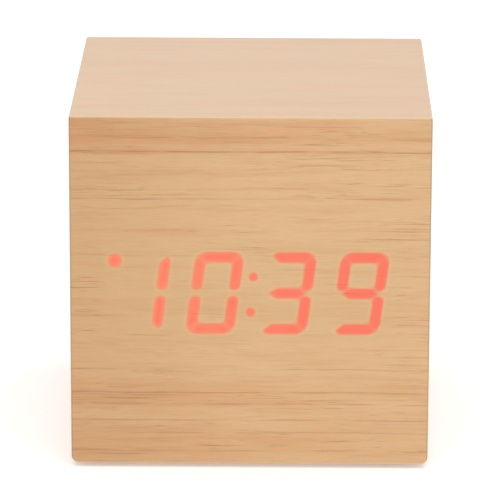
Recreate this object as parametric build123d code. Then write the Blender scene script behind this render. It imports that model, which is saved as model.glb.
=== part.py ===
"""Cube alarm clock: a box of veneered board with an LED display that shines through its front veneer.

Millimetres. +Z is up, +X is to the right seen from the front, and the front faces -Y.
Every piece is drawn about the centre of the cube and lifted by centre_height when it is written,
so the origin is the centre of the footprint, on the surface the clock stands on.
"""

import os
from math import atan2, cos, degrees, pi, radians, sin, tan

from build123d import *

# Case
case_side = 62.0  # outer side of the cube, veneer included
wall = 5.0  # board plus veneer
veneer = 0.3
upper_corner_radius = 0.45  # the edges that run from front to back
lower_corner_radius = 1.3
front_edge_radius = 0.25
foot_height = 0.8
foot_radius = 4.0
foot_inset = 9.0  # foot centre from the side of the cube
block_width = 8.0  # glue block across the corner, along X
block_height = 5.0
block_length = 12.0

# Display
digits_middle = (0.2, -0.1)  # from the middle of the front
digit_pitch = 12.5
digit_spacing = 4.1  # free width between two digits
digit_height = 14.7
stroke = 1.9
corner_gap = 0.3  # along X, between two bars that meet at a corner of a digit
corner_bevel = 1.45  # leg of the bevel at the outer corners of a digit
middle_gap = 1.0  # between the blunt ends of the upper and the lower uprights
end_taper = 0.5  # how far a blunt end narrows, as a share of a pointed one
middle_bar_gap = 0.35  # between the tip of the middle bar and the centre line of the uprights
slant = 7.4  # degrees
colon_dot_radius = 0.8
colon_dot_places = ((0.55, 2.8), (0.1, -3.5))
alarm_dot_radius = 1.2
alarm_dot_place = (-23.2, 5.6)
window_width = 51.0
window_height = 18.4
window_radius = 1.0
display_clearance = 0.2  # housing and film inside the window
film = 0.4
housing_depth = 7.6
light_guide_depth = 6.4
led_size = (1.0, 0.5, 0.5)  # along X, Y and Z

# Front circuit board and what it carries
board_thickness = 1.6
front_board_height = 46.0
front_board_margin = 0.7  # between the board and the side walls
fixing_inset_x = 4.3  # screws from the edges of the board
fixing_inset_z = 3.5
screw_radius = 1.1
thread_clearance = 0.02
screw_head_radius = 2.0
screw_head_height = 1.5
spacer_radius = 2.6
pin_size = 0.5
pin_length = 2.6
pins_per_row = 12
pin_pitch = 2.54
pin_row_inset = 0.6  # from the long edge of the housing
clearance_hole_gap = 0.15  # round a screw in the board it passes through
board_screw_length = 7.5
blind_hole_skin = 1.0  # wood left in front of the screw holes of the front board
chip_size = (17.9, 2.3, 7.5)
chip_place = (0.0, 13.5)
chip_legs_per_side = 14
chip_leg_pitch = 1.27
buzzer_radius = 6.0
buzzer_height = 8.5
buzzer_place = (12.5, -15.5)
microphone_radius = 3.0
microphone_height = 2.7
microphone_place = (-16.0, -13.0)
capacitor_radius = 2.5
capacitor_height = 7.0
capacitor_places = ((-15.0, 4.0), (-9.0, 4.0))
crystal_radius = 1.5
crystal_length = 8.0
crystal_place = (8.0, 6.5)
sensor_height = 7.0
sensor_place = (22.0, 4.0)
resistor_size = (1.25, 0.5, 2.0)
resistor_pitch = 2.4
resistor_rows = ((8, -19.0, -2.0), (7, 4.4, -2.0), (3, 13.4, 11.0))  # number, first place
transistor_size = (1.3, 1.0, 2.9)
transistor_pitch = 2.2
transistor_rows = ((5, -20.0, 11.5),)
connector_place = (0.0, -13.5)
connector_depth = 6.0
connector_height = 4.6
lead_plug_place = (-14.0, -20.0)

# Back cover
cover_recess = 1.0  # from the rear edge of the case
cover_thickness = 2.5
cover_gap = 0.15  # between the cover and the case walls
cover_screw_inset_x = 4.0  # from the inside of the case walls
cover_screw_inset_z = 3.2
cover_screw_length = 10.0
cover_hole_length = 10.5
boss_radius = 2.2
sound_slot = (8.5, 0.7)
sound_slot_pitch = 1.5
sound_slot_xs = (-12.0, 12.0)
legend_size = 1.1
legend_depth = 0.25
legend_paint = 0.15

# Battery bay, for three AAA cells that lie across the clock
cell_radius = 5.25
cell_length = 43.5
nub_radius = 1.9
nub_length = 1.0
cell_gap = 0.3
cell_back_gap = 0.3
cell_door_gap = 0.4
contact_thickness = 0.4
contact_size = 8.6
spring_length = 2.3
spring_wire = 0.5
spring_radius = 2.9
spring_turns = 2.5
bay_wall = 1.2
bay_rib_height = 2.2
bay_rib_half_foot = 1.6  # half the width of a rib where it stands on the floor
bay_rib_half_top = 0.3
bay_rib_length = 2.0
bay_rib_xs = (-12.0, 12.0)
opening_overlap = 0.8  # how far the ledge reaches over each end of the cells

# Battery door and its snap latch
door_thickness = 1.5
door_gap = 0.25
door_seat_gap = 0.1  # between the door and the ledge under it
door_width_margin = 1.65  # cover left standing beside the door's recess
door_axis_z = 14.1
hinge_pin_radius = 0.5
hinge_clearance = 0.05
hinge_pin_length = 1.1
latch_width = 10.0
latch_leaf = 0.8
latch_bend_radius = 0.8  # inside
latch_reach = 2.85  # from the door's inner face to the middle of the bend
latch_root_gap = 0.15
pad_height = 2.1
nib_length = 1.1
nib_inset = 1.5  # from each side of the leaf
grip_slot = (12.0, 0.7)
grip_slot_depth = 0.4
grip_slot_pitch = 1.6
grip_slots = 5
door_arrow_size = 1.6

# Rear circuit board, buttons and power socket
button_z = 20.4
button_xs = {"set": -2.0, "up": 6.0, "down": 14.0}
button_radius = 2.5
button_proud = 0.8
button_clearance = 0.1
button_travel = 0.4
flange_radius = 3.0
flange_thickness = 0.8
flange_gap = 0.2
plunger_radius = 1.7
plunger_stroke_length = 1.5
plunger_clearance = 0.08
plunger_sunk = 0.5  # in its switch at rest
well_spare = 0.3  # under a plunger that is pressed right in
switch_size = 6.2
switch_depth = 3.4
rear_board_thickness = 1.2
rear_board_margin = 3.0  # between the board and the side walls
rear_fixing_inset_x = 2.7  # screws from the edges of the board
rear_fixing_inset_z = 2.4
rear_screw_length = 5.5
socket_x = -11.5
socket_width = 7.6
socket_height = 2.7
socket_wall = 0.25
socket_floor = 1.0
socket_set_back = 0.6  # mouth of the socket below the cover's face
socket_clearance = 0.35
tongue_size = (3.8, 0.7)

# Wires
ribbon_wire = 1.1
ribbon_pitch = 1.27
ribbon_ways = 6
lead_radius = 0.6
lead_pitch = 2.54

# Worked-out places, about the centre of the cube
half = case_side / 2
centre_height = foot_height + half
cavity = half - wall
board_face = half - veneer
digit_width = digit_pitch - digit_spacing
front_board_back = -cavity
slant_slope = tan(radians(slant))
film_back = -board_face + film
housing_back = film_back + housing_depth
pcb_back = housing_back + board_thickness
cover_face = half - cover_recess
cover_inside = cover_face - cover_thickness
cover_half = cavity - cover_gap
ledge_face = cover_face - door_thickness - door_seat_gap
cell_pitch = 2 * cell_radius + cell_gap
bay_half_width = (cell_length + nub_length + spring_length) / 2 + contact_thickness
bay_top = door_axis_z - 0.3
bay_bottom = bay_top - 3 * cell_pitch
cell_y = cover_inside - cell_door_gap - cell_radius
bay_floor = cell_y - cell_radius - cell_back_gap
hinge_y = cover_face - door_thickness / 2
recess_half_width = cover_half - door_width_margin
door_half_width = recess_half_width - door_gap
recess_top = door_axis_z + door_thickness / 2 + door_gap
recess_bottom = bay_bottom - opening_overlap - 0.15
door_bottom = recess_bottom + door_gap
latch_root_z = bay_bottom - bay_wall - 0.3
latch_axis_y = cover_face - door_thickness - latch_reach
latch_axis_z = latch_root_z - latch_leaf - latch_bend_radius
leaf_top = latch_axis_z - latch_bend_radius
leaf_bottom = leaf_top - latch_leaf
pad_bottom = leaf_bottom - latch_leaf
notch_bottom = pad_bottom - door_gap
notch_half_width = latch_width / 2 + 0.4
rear_board_face = cover_inside - flange_gap - flange_thickness - plunger_stroke_length - switch_depth
rear_board_front = rear_board_face - rear_board_thickness
block_x = cavity - block_width / 2
block_z = cavity - block_height / 2
cover_screw_x = cavity - cover_screw_inset_x
cover_screw_z = cavity - cover_screw_inset_z
front_board_half = cavity - front_board_margin
fixing_x = front_board_half - fixing_inset_x
fixing_z = front_board_height / 2 - fixing_inset_z
rear_board_half = cavity - rear_board_margin
rear_board_shoulder = cavity - block_height - 0.3

MARKS = {
    0: {"lit": "bc", "dark": "aged"},
    1: {"lit": "abcdef", "dark": "g"},
    2: {"lit": "abcdg", "dark": "ef"},
    3: {"lit": "abcdfg", "dark": "e"},
}


# ---------- drawing helpers ----------


def block(x0, x1, y0, y1, z0, z1):
    """A box between two corners."""
    middle = ((x0 + x1) / 2, (y0 + y1) / 2, (z0 + z1) / 2)
    return Pos(*middle) * Box(x1 - x0, y1 - y0, z1 - z0)


def prism(sketch, y0, y1):
    """A flat shape, drawn as X across and Z up, made solid from y0 to y1."""
    plane = Plane(origin=(0, y0, 0), x_dir=(1, 0, 0), z_dir=(0, -1, 0))
    return extrude(plane * sketch, amount=y0 - y1)


def rod(radius, x, z, y0, y1):
    """A cylinder along Y."""
    return prism(Pos(x, z) * Circle(radius), y0, y1)


def bar(radius, y, z, x0, x1):
    """A cylinder along X."""
    return Pos((x0 + x1) / 2, y, z) * Rot(0, 90, 0) * Cylinder(radius, x1 - x0)


def rounded(width, height, radius, y0, y1, x=0.0, z=0.0):
    """A plate with rounded corners, facing along Y."""
    return prism(Pos(x, z) * RectangleRounded(width, height, radius), y0, y1)


def side_profile(points):
    """A filled outline in the YZ plane, given as (y, z) points."""
    return Plane.YZ * make_face(Polyline([*points, points[0]]))


def arrow_head(size):
    """A flat arrow head that points up, or down when the size is below zero."""
    foot = (-size, -0.7 * size)
    return make_face(Polyline([foot, (size, -0.7 * size), (0, 0.8 * size), foot]))


def corners(x, z):
    """The four places (+-x, +-z)."""
    return [(sx * x, sz * z) for sx in (-1, 1) for sz in (-1, 1)]


def wire_tube(points, bends, radius):
    """A round wire along straight runs joined by arcs."""
    path = FilletPolyline(*points, radius=bends)
    start = Plane(origin=path @ 0, z_dir=path % 0)
    return sweep(start * Circle(radius), path=path)


# ---------- case ----------


def mitre_frustum():
    """The part of space in front of the four 45 degree mitres of the front board."""
    spare = 1.0
    depth = wall + 4 * spare
    plane = Plane(origin=(0, -half - spare, 0), x_dir=(1, 0, 0), z_dir=(0, 1, 0))
    return extrude(plane * Rectangle(case_side + 2 * spare, case_side + 2 * spare), amount=depth, taper=45)


def side_wedge(turn):
    """The part of space between two diagonals of the cube, above them, turned about Y."""
    reach = case_side
    wedge = prism(make_face(Polyline([(0, 0), (reach, reach), (-reach, reach), (0, 0)])), -reach, reach)
    return Rot(0, turn, 0) * wedge


def cube(reach, back, inset):
    """A block from -reach to reach, less rounded along its upper edges than its lower ones."""
    body = block(-reach, reach, -reach, back, -reach, reach)
    long_edges = body.edges().filter_by(Axis.Y).sort_by(Axis.Z)
    body = fillet(long_edges[:2], lower_corner_radius - inset)
    long_edges = body.edges().filter_by(Axis.Y).sort_by(Axis.Z)
    return fillet(long_edges[-2:], upper_corner_radius - inset)


def outer_block():
    body = cube(half, half, 0)
    return fillet(body.faces().sort_by(Axis.Y)[0].edges(), front_edge_radius)


def veneer_shell():
    return outer_block() - cube(board_face, half + 1, veneer)


def board_shell():
    return cube(board_face, half, veneer) - block(-cavity, cavity, -cavity, half + 1, -cavity, cavity)


def window_cut():
    return rounded(window_width, window_height, window_radius, -half, front_board_back + 1)


def front_board(shell, frustum):
    board = (shell & frustum) - window_cut()
    hole_end = blind_hole_skin - board_face
    for x, z in corners(fixing_x, fixing_z):
        board -= rod(screw_radius + thread_clearance, x, z, hole_end, front_board_back + 1)
    return board


def corner_blocks():
    """Wooden blocks glued into the corners, which the cover's screws bite into."""
    blocks = []
    for x, z in corners(block_x, block_z):
        piece = block(x - block_width / 2, x + block_width / 2, cover_inside - block_length,
                      cover_inside, z - block_height / 2, z + block_height / 2)
        hole_x = cover_screw_x if x > 0 else -cover_screw_x
        hole_z = cover_screw_z if z > 0 else -cover_screw_z
        hole_end = cover_inside - cover_hole_length
        blocks.append(piece - rod(screw_radius + thread_clearance, hole_x, hole_z, hole_end, cover_inside))
    return blocks


def feet():
    place = half - foot_inset
    pad = Cylinder(foot_radius, foot_height, align=(Align.CENTER, Align.CENTER, Align.MAX))
    pad = fillet(pad.edges().sort_by(Axis.Z)[0], foot_height / 3)
    return [Pos(x, y, -half) * pad for x, y in corners(place, place)]


# ---------- display ----------


def leaning(x, z):
    """A point of an upright digit, leant over by the slant."""
    return (x + z * slant_slope, z)


def digit_middle(index):
    return ((index - 1.5) * digit_pitch + digits_middle[0], digits_middle[1])


def lying_bar(side, level, broad):
    """The top bar of a digit: mitred against the uprights and bevelled at the digit's corners."""
    gap, reach = corner_gap / 2, stroke - corner_bevel
    right = [(side - broad - gap, level - broad), (side + (reach - gap) / 2, level + (reach + gap) / 2),
             (side + reach - broad, level + broad)]
    return right + [(-x, z) for x, z in reversed(right)]


def standing_bar(side, level, broad):
    """The upper right upright: mitred at the digit's corner and blunt at the digit's middle."""
    gap, reach = corner_gap / 2, stroke - corner_bevel
    foot, blunt = middle_gap / 2, broad * (1 - end_taper)
    return [(side - broad, level - broad - gap), (side + (reach + gap) / 2, level + (reach - gap) / 2),
            (side + broad, level + reach - broad), (side + broad, foot + broad - blunt),
            (side + blunt, foot), (side - blunt, foot), (side - broad, foot + broad - blunt)]


def middle_bar(side, broad):
    """The middle bar, pointed at both ends."""
    end = side - middle_bar_gap
    right = [(end - broad, -broad), (end, 0), (end - broad, broad)]
    return right + [(-x, z) for x, z in reversed(right)]


def segment_outline(index, name):
    """One bar of a seven-segment digit, as a face. Each kind of bar is drawn once and mirrored."""
    side = (digit_width - stroke) / 2
    level = (digit_height - stroke) / 2
    broad = stroke / 2
    across = -1 if name in "ef" else 1
    up = -1 if name in "cde" else 1
    if name == "g":
        outline = middle_bar(side, broad)
    elif name in "ad":
        outline = lying_bar(side, level, broad)
    else:
        outline = standing_bar(side, level, broad)
    points = [leaning(across * x, up * z) for x, z in outline]
    return Pos(*digit_middle(index)) * make_face(Polyline([*points, points[0]]))


def mark_faces(state):
    """The flat shapes of the display's lit or dark marks."""
    faces = [segment_outline(index, name) for index, names in MARKS.items() for name in names[state]]
    if state == "lit":
        faces += [Pos(*place) * Circle(colon_dot_radius) for place in colon_dot_places]
        faces.append(Pos(*alarm_dot_place) * Circle(alarm_dot_radius))
    return faces


def mark_places():
    """The middle of each mark, where its LED sits."""
    return [face.center() for state in ("lit", "dark") for face in mark_faces(state)]


def marks(state, y0, y1):
    return [prism(face, y0, y1) for face in mark_faces(state)]


def display_housing():
    body = rounded(window_width - 2 * display_clearance, window_height - 2 * display_clearance,
                   window_radius - display_clearance, film_back, housing_back)
    for state in ("lit", "dark"):
        for hole in marks(state, film_back - 1, housing_back + 1):
            body -= hole
    return body


def led_chips():
    x, y, z = led_size
    return [block(p.X - x / 2, p.X + x / 2, housing_back - y, housing_back, p.Y - z / 2, p.Y + z / 2)
            for p in mark_places()]


def pin_places():
    start = -(pins_per_row - 1) / 2 * pin_pitch
    row = window_height / 2 - display_clearance - pin_row_inset
    return [(start + n * pin_pitch, side * row) for side in (-1, 1) for n in range(pins_per_row)]


def square_pin(x, z, y0, y1):
    return block(x - pin_size / 2, x + pin_size / 2, y0, y1, z - pin_size / 2, z + pin_size / 2)


def display_board():
    corner_radius = 1.0
    board = rounded(2 * front_board_half, front_board_height, corner_radius, housing_back, pcb_back)
    for x, z in corners(fixing_x, fixing_z):
        board -= rod(screw_radius + clearance_hole_gap, x, z, housing_back - 1, pcb_back + 1)
    for x, z in pin_places():
        board -= square_pin(x, z, housing_back - 1, pcb_back + 1)
    return board


def pan_screw(x, z, head_base, length):
    """A pan-head screw driven towards -Y, with a cross recess."""
    head_end = head_base + screw_head_height
    head = rod(screw_head_radius, x, z, head_base, head_end)
    head = fillet(head.edges().sort_by(Axis.Y)[-1], screw_head_height * 0.45)
    shank = rod(screw_radius, x, z, head_base - length, head_base)
    shank = chamfer(shank.edges().sort_by(Axis.Y)[0], screw_radius * 0.6)
    half_slot = 0.25
    reach = screw_head_radius * 0.6
    floor = head_end - 0.8
    cross = block(x - reach, x + reach, floor, head_end + 1, z - half_slot, z + half_slot)
    cross += block(x - half_slot, x + half_slot, floor, head_end + 1, z - reach, z + reach)
    return head + shank - cross


def board_spacers():
    hole = screw_radius + clearance_hole_gap
    return [rod(spacer_radius, x, z, front_board_back, housing_back)
            - rod(hole, x, z, front_board_back - 1, housing_back + 1)
            for x, z in corners(fixing_x, fixing_z)]


def board_screws():
    return [pan_screw(x, z, pcb_back, board_screw_length) for x, z in corners(fixing_x, fixing_z)]


# ---------- parts on the front circuit board ----------


def microcontroller():
    """A wide chip that stands just off the board, with a dimple at its first leg."""
    x, z = chip_place
    w, h, d = chip_size
    stand_off, bevel = 0.15, 0.4
    dimple_radius, dimple_depth, dimple_inset = 0.6, 0.15, 1.6
    top = pcb_back + h
    body = block(x - w / 2, x + w / 2, pcb_back + stand_off, top, z - d / 2, z + d / 2)
    body = chamfer(body.faces().sort_by(Axis.Y)[-1].edges(), bevel)
    return body - rod(dimple_radius, x - w / 2 + dimple_inset, z - d / 2 + dimple_inset,
                      top - dimple_depth, top + 1)


def microcontroller_legs():
    """Gull-wing legs, each a bent strip that starts in the side of the body."""
    x0 = chip_place[0] - (chip_legs_per_side - 1) / 2 * chip_leg_pitch
    strip, foot, rise, width = 0.25, 0.9, 1.1, 0.45
    edge = chip_size[2] / 2
    knee = edge + 0.75
    profile = [(edge, rise), (knee, rise), (knee, strip), (knee + foot, strip), (knee + foot, 0),
               (knee - strip, 0), (knee - strip, rise - strip), (edge, rise - strip)]
    legs = []
    for side in (-1, 1):
        outline = side_profile([(pcb_back + up, chip_place[1] + side * out) for out, up in profile])
        for n in range(chip_legs_per_side):
            x = x0 + n * chip_leg_pitch
            legs.append(Pos(x - width / 2, 0, 0) * extrude(outline, amount=width, dir=(1, 0, 0)))
    return legs


def buzzer():
    """A round case with a sound hole in its end."""
    x, z = buzzer_place
    hole_radius, hole_depth, edge_radius = 1.1, 2.5, 0.5
    top = pcb_back + buzzer_height
    body = rod(buzzer_radius, x, z, pcb_back, top)
    body = fillet(body.edges().sort_by(Axis.Y)[-1], edge_radius)
    return body - rod(hole_radius, x, z, top - hole_depth, top + 1)


def microphone():
    """A small metal can with a shallow round mouth."""
    x, z = microphone_place
    mouth_radius, mouth_depth, edge_radius = 2.0, 0.3, 0.4
    top = pcb_back + microphone_height
    body = rod(microphone_radius, x, z, pcb_back, top)
    body = fillet(body.edges().sort_by(Axis.Y)[-1], edge_radius)
    return body - rod(mouth_radius, x, z, top - mouth_depth, top + 1)


def capacitors():
    """Sleeved cans, each with a crimped groove near its foot."""
    groove_start, groove_end, groove_depth, edge_radius = 1.1, 1.6, 0.25, 0.4
    cans = []
    for x, z in capacitor_places:
        can = rod(capacitor_radius, x, z, pcb_back, pcb_back + capacitor_height)
        can = fillet(can.edges().sort_by(Axis.Y)[-1], edge_radius)
        groove = rod(capacitor_radius + 1, x, z, pcb_back + groove_start, pcb_back + groove_end)
        groove -= rod(capacitor_radius - groove_depth, x, z, pcb_back, pcb_back + capacitor_height)
        cans.append(can - groove)
    return cans


def clock_crystal():
    """A watch crystal in a metal can that lies on the board."""
    x, z = crystal_place
    lead_length, lead_spread, wire_radius, edge_radius = 2.0, 0.6, 0.2, 0.3
    y = pcb_back + crystal_radius
    can = bar(crystal_radius, y, z, x, x + crystal_length)
    can = fillet(can.edges().filter_by(GeomType.CIRCLE), edge_radius)
    leads = [bar(wire_radius, y, z + side * lead_spread, x - lead_length, x) for side in (-1, 1)]
    return [can, *leads]


def temperature_sensor():
    """A bead thermistor on two stiff leads."""
    x, z = sensor_place
    bead_radius, wire_radius, lead_spread = 1.3, 0.2, 0.5
    bead = Pos(x, pcb_back + sensor_height, z) * Sphere(bead_radius)
    for side in (-1, 1):
        bead += rod(wire_radius, x + side * lead_spread, z, pcb_back, pcb_back + sensor_height)
    return bead


def surface_mount_parts(rows, pitch, size):
    """Rows of small flat parts soldered to the board."""
    w, h, d = size
    parts = []
    for count, start, z in rows:
        for n in range(count):
            x = start + n * pitch
            parts.append(block(x - w / 2, x + w / 2, pcb_back, pcb_back + h, z - d / 2, z + d / 2))
    return parts


def wire_connector(place, base, towards, ways, pitch):
    """A white shrouded connector with its plug pushed in; a groove shows where the two meet."""
    x, z = place
    side_wall, bevel, groove_width, groove_depth = 1.0, 0.4, 0.3, 0.3
    half_width = ways * pitch / 2 + side_wall
    half_height = connector_height / 2
    near, far = sorted((base, base + towards * connector_depth))
    body = block(x - half_width, x + half_width, near, far, z - half_height, z + half_height)
    body = chamfer(body.edges().filter_by(Axis.Y), bevel)
    seam = base + towards * connector_depth * 0.62
    low, high = seam - groove_width / 2, seam + groove_width / 2
    ring = block(x - half_width - 1, x + half_width + 1, low, high, z - half_height - 1, z + half_height + 1)
    inner_width, inner_height = half_width - groove_depth, half_height - groove_depth
    ring -= block(x - inner_width, x + inner_width, low, high, z - inner_height, z + inner_height)
    return body - ring


def ribbon():
    """Six wires side by side, in an S from the front board up to the rear board."""
    start = pcb_back + connector_depth
    run = rear_board_front - connector_depth - start
    low = connector_place[1]
    rise = button_z - low
    shares = [(0, 0), (0.2, 0), (0.42, 0.3), (0.52, 0.7), (0.75, 1), (1, 1)]  # of the run and of the rise
    bends = [4.0, 7.0, 7.0, 5.0]
    wires = []
    for n in range(ribbon_ways):
        x = connector_place[0] + (n - (ribbon_ways - 1) / 2) * ribbon_pitch
        route = [(x, start + a * run, low + b * rise) for a, b in shares]
        wires.append(wire_tube(route, bends, ribbon_wire / 2))
    return wires


def battery_lead(side):
    """One lead from the small plug on the front board to the floor of the battery bay."""
    plug_x = lead_plug_place[0] + side * lead_pitch / 2
    plug_z = lead_plug_place[1]
    start = pcb_back + connector_depth
    end = bay_floor - bay_wall
    bay_x = 3.0 - bay_half_width
    bay_z = bay_bottom + cell_pitch / 2 if side < 0 else bay_top - cell_pitch / 2
    slack = 4.0 if side > 0 else 0.0
    points = [(plug_x, start, plug_z), (plug_x, start + 7, plug_z),
              (bay_x + slack, end - 14, bay_z - side * 2), (bay_x, end - 6, bay_z), (bay_x, end, bay_z)]
    return wire_tube(points, [2.8, 2.6, 2.2], lead_radius)


# ---------- back cover ----------


def battery_tray():
    """The tray for the cells as it stands in front of the cover, and the room to cut out of it."""
    outside = bay_half_width + bay_wall
    low, high = bay_bottom - bay_wall, bay_top + bay_wall
    tray = block(-outside, outside, bay_floor - bay_wall, cover_inside, low, high)
    room = block(-bay_half_width, bay_half_width, bay_floor, cover_inside, bay_bottom, bay_top)
    mouth = bay_half_width - opening_overlap
    room += block(-mouth, mouth, cover_inside - 1, cover_face + 1, bay_bottom, bay_top)
    return tray, room


def tray_ribs():
    """Short ribs on the tray's floor that keep each cell beside its neighbour."""
    top = bay_floor + bay_rib_height
    ribs = []
    for n in (1, 2):
        z = bay_bottom + n * cell_pitch
        rib = side_profile([(bay_floor, z - bay_rib_half_foot), (top, z - bay_rib_half_top),
                            (top, z + bay_rib_half_top), (bay_floor, z + bay_rib_half_foot)])
        rib = extrude(rib, amount=bay_rib_length, dir=(1, 0, 0))
        ribs += [Pos(x - bay_rib_length / 2, 0, 0) * rib for x in bay_rib_xs]
    return ribs


def sound_slots():
    """Three slots on each side of the latch, for the buzzer and the microphone."""
    middle = (notch_bottom + recess_bottom) / 2
    slots = []
    for x in sound_slot_xs:
        for n in (-1, 0, 1):
            outline = Pos(x, middle + n * sound_slot_pitch) * SlotOverall(*sound_slot)
            slots.append(prism(outline, cover_inside - 1, cover_face + 1))
    return slots


def back_cover():
    corner_radius, bevel = 0.8, 0.3
    outside, inside = cover_face + 1, cover_inside - 1
    cover = rounded(2 * cover_half, 2 * cover_half, corner_radius, cover_inside, cover_face)
    cover = chamfer(cover.faces().sort_by(Axis.Y)[-1].edges(), bevel)
    tray, room = battery_tray()
    cover += tray
    cover -= room
    cover -= block(-recess_half_width, recess_half_width, ledge_face, outside, recess_bottom, recess_top)
    for rib in tray_ribs():
        cover += rib
    # hinge sockets and the notch for the latch
    socket_end = door_half_width + hinge_pin_length + 2 * hinge_clearance
    cover -= bar(hinge_pin_radius + hinge_clearance, hinge_y, door_axis_z, -socket_end, socket_end)
    cover -= block(-notch_half_width, notch_half_width, inside, outside, notch_bottom, recess_bottom)
    # buttons and power socket
    for x in button_xs.values():
        cover -= rod(button_radius + button_clearance, x, button_z, inside, outside)
    mouth_radius = socket_height / 2 - button_clearance
    cover -= rounded(socket_width + 2 * socket_clearance, socket_height + 2 * socket_clearance, mouth_radius,
                     inside, outside, socket_x, button_z)
    for x, z in rear_board_fixings():
        cover += rod(boss_radius, x, z, rear_board_face, cover_inside)
        cover -= rod(screw_radius + thread_clearance, x, z, rear_board_face - 1, cover_inside)
    for x, z in corners(cover_screw_x, cover_screw_z):
        cover -= rod(screw_radius + clearance_hole_gap, x, z, inside, outside)
        cover -= rod(screw_head_radius + button_clearance, x, z, cover_face - screw_head_height, outside)
    for cut in sound_slots():
        cover -= cut
    for shape in legend_shapes():
        cover -= prism(shape, cover_face - legend_depth, outside)
    return cover


def legend_shapes():
    """A square, an up arrow and a down arrow, each under its button."""
    z = (recess_top + button_z - button_radius) / 2
    square = Pos(button_xs["set"], z) * Rectangle(legend_size * 1.5, legend_size * 1.5)
    up = Pos(button_xs["up"], z) * arrow_head(legend_size)
    down = Pos(button_xs["down"], z) * arrow_head(-legend_size)
    return [square, up, down]


def button_symbols():
    """The white paint at the bottom of the sunk legends."""
    floor = cover_face - legend_depth
    return [prism(shape, floor, floor + legend_paint) for shape in legend_shapes()]


def cover_screws():
    base = cover_face - screw_head_height
    return [pan_screw(x, z, base, cover_screw_length) for x, z in corners(cover_screw_x, cover_screw_z)]


# ---------- battery door ----------


def battery_door():
    inner = cover_face - door_thickness
    plate = block(-door_half_width, door_half_width, inner, cover_face, door_bottom, door_axis_z)
    plate += bar(door_thickness / 2, hinge_y, door_axis_z, -door_half_width, door_half_width)
    reach = door_half_width + hinge_pin_length
    plate += bar(hinge_pin_radius, hinge_y, door_axis_z, -reach, reach)
    tab_half = latch_width / 2
    plate += block(-tab_half, tab_half, inner, cover_face, latch_root_z - latch_leaf, door_bottom)
    for n in range(grip_slots):
        z = door_bottom + (n + 1.5) * grip_slot_pitch
        plate -= prism(Pos(0, z) * SlotOverall(*grip_slot), cover_face - grip_slot_depth, cover_face + 1)
    arrow = Pos(0, door_bottom + (grip_slots + 3) * grip_slot_pitch) * arrow_head(-door_arrow_size)
    plate -= prism(arrow, cover_face - legend_depth, cover_face + 1)
    leg = block(-tab_half, tab_half, latch_axis_y, inner, latch_root_z - latch_leaf, latch_root_z)
    return plate + leg + latch_bend(90 + latch_gap_angle(), 180)


def latch_gap_angle():
    """Half the gap between the two halves of the latch's bend, in degrees."""
    return degrees(latch_root_gap / (latch_bend_radius + latch_leaf / 2)) / 2


def latch_bend(start, end):
    """Part of the latch's bend, as a ring sector. Degrees run from the bottom by way of the front."""
    outer = latch_bend_radius + latch_leaf
    inner = latch_bend_radius
    across = lambda r, a: (latch_axis_y - r * sin(radians(a)), latch_axis_z - r * cos(radians(a)))
    middle = (start + end) / 2
    edges = [ThreePointArc(across(outer, start), across(outer, middle), across(outer, end)),
             Line(across(outer, end), across(inner, end)),
             ThreePointArc(across(inner, end), across(inner, middle), across(inner, start)),
             Line(across(inner, start), across(outer, start))]
    face = Plane.YZ * make_face(edges)
    return Pos(-latch_width / 2, 0, 0) * extrude(face, amount=latch_width, dir=(1, 0, 0))


def door_latch():
    """The springy end of the door: the far leaf of the bend, its thumb pad and its nib."""
    tab_half = latch_width / 2
    leaf = block(-tab_half, tab_half, latch_axis_y, cover_face - door_thickness, leaf_bottom, leaf_top)
    pad_top = pad_bottom + pad_height
    pad = block(-tab_half, tab_half, cover_face - door_thickness, cover_face, pad_bottom, pad_top)
    pad = chamfer(pad.faces().sort_by(Axis.Y)[-1].edges().filter_by(Axis.X), 0.35)
    nib_end = cover_inside - 0.1
    nib_flat = 0.3
    nib = side_profile([(nib_end, leaf_bottom), (nib_end, pad_bottom), (nib_end - nib_flat, pad_bottom),
                        (nib_end - nib_length, leaf_bottom)])
    nib_half = tab_half - nib_inset
    nib = Pos(-nib_half, 0, 0) * extrude(nib, amount=2 * nib_half, dir=(1, 0, 0))
    return leaf + pad + nib + latch_bend(0, 90 - latch_gap_angle())


# ---------- cells and contacts ----------


def cell_places():
    """Height of each cell and the side its positive end is on, from the bottom."""
    return [(bay_bottom + (n + 0.5) * cell_pitch, 1 if n % 2 == 0 else -1) for n in range(3)]


def battery_cell(z, side):
    positive = side * (bay_half_width - contact_thickness)
    shoulder = positive - side * nub_length
    negative = shoulder - side * cell_length
    can_edge, nub_edge, sunk = 0.4, 0.3, 0.2
    can = bar(cell_radius, cell_y, z, *sorted((shoulder, negative)))
    can = fillet(can.edges().filter_by(GeomType.CIRCLE), can_edge)
    nub = bar(nub_radius, cell_y, z, *sorted((positive, shoulder - side * sunk)))
    nub = fillet(nub.edges().filter_by(GeomType.CIRCLE).sort_by(Axis.X)[-1 if side > 0 else 0], nub_edge)
    return can + nub


def contact_plates():
    """A flat contact at each end of each cell."""
    size = contact_size / 2
    plates = []
    for z, _ in cell_places():
        for side in (-1, 1):
            x = sorted((side * bay_half_width, side * (bay_half_width - contact_thickness)))
            plates.append(block(*x, cell_y - size, cell_y + size, z - size, z + size))
    return plates


def contact_springs():
    """A coil spring against the flat end of each cell."""
    springs = []
    rise = spring_length - spring_wire
    for z, side in cell_places():
        coil = Helix(pitch=rise / spring_turns, height=rise, radius=spring_radius)
        start = Plane(origin=coil @ 0, z_dir=coil % 0)
        spring = sweep(start * Circle(spring_wire / 2), path=coil)
        foot = -side * (bay_half_width - contact_thickness - spring_wire / 2)
        springs.append(Pos(foot, cell_y, z) * Rot(0, 90 * side, 0) * spring)
    return springs


# ---------- rear circuit board, buttons, power socket ----------


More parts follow.
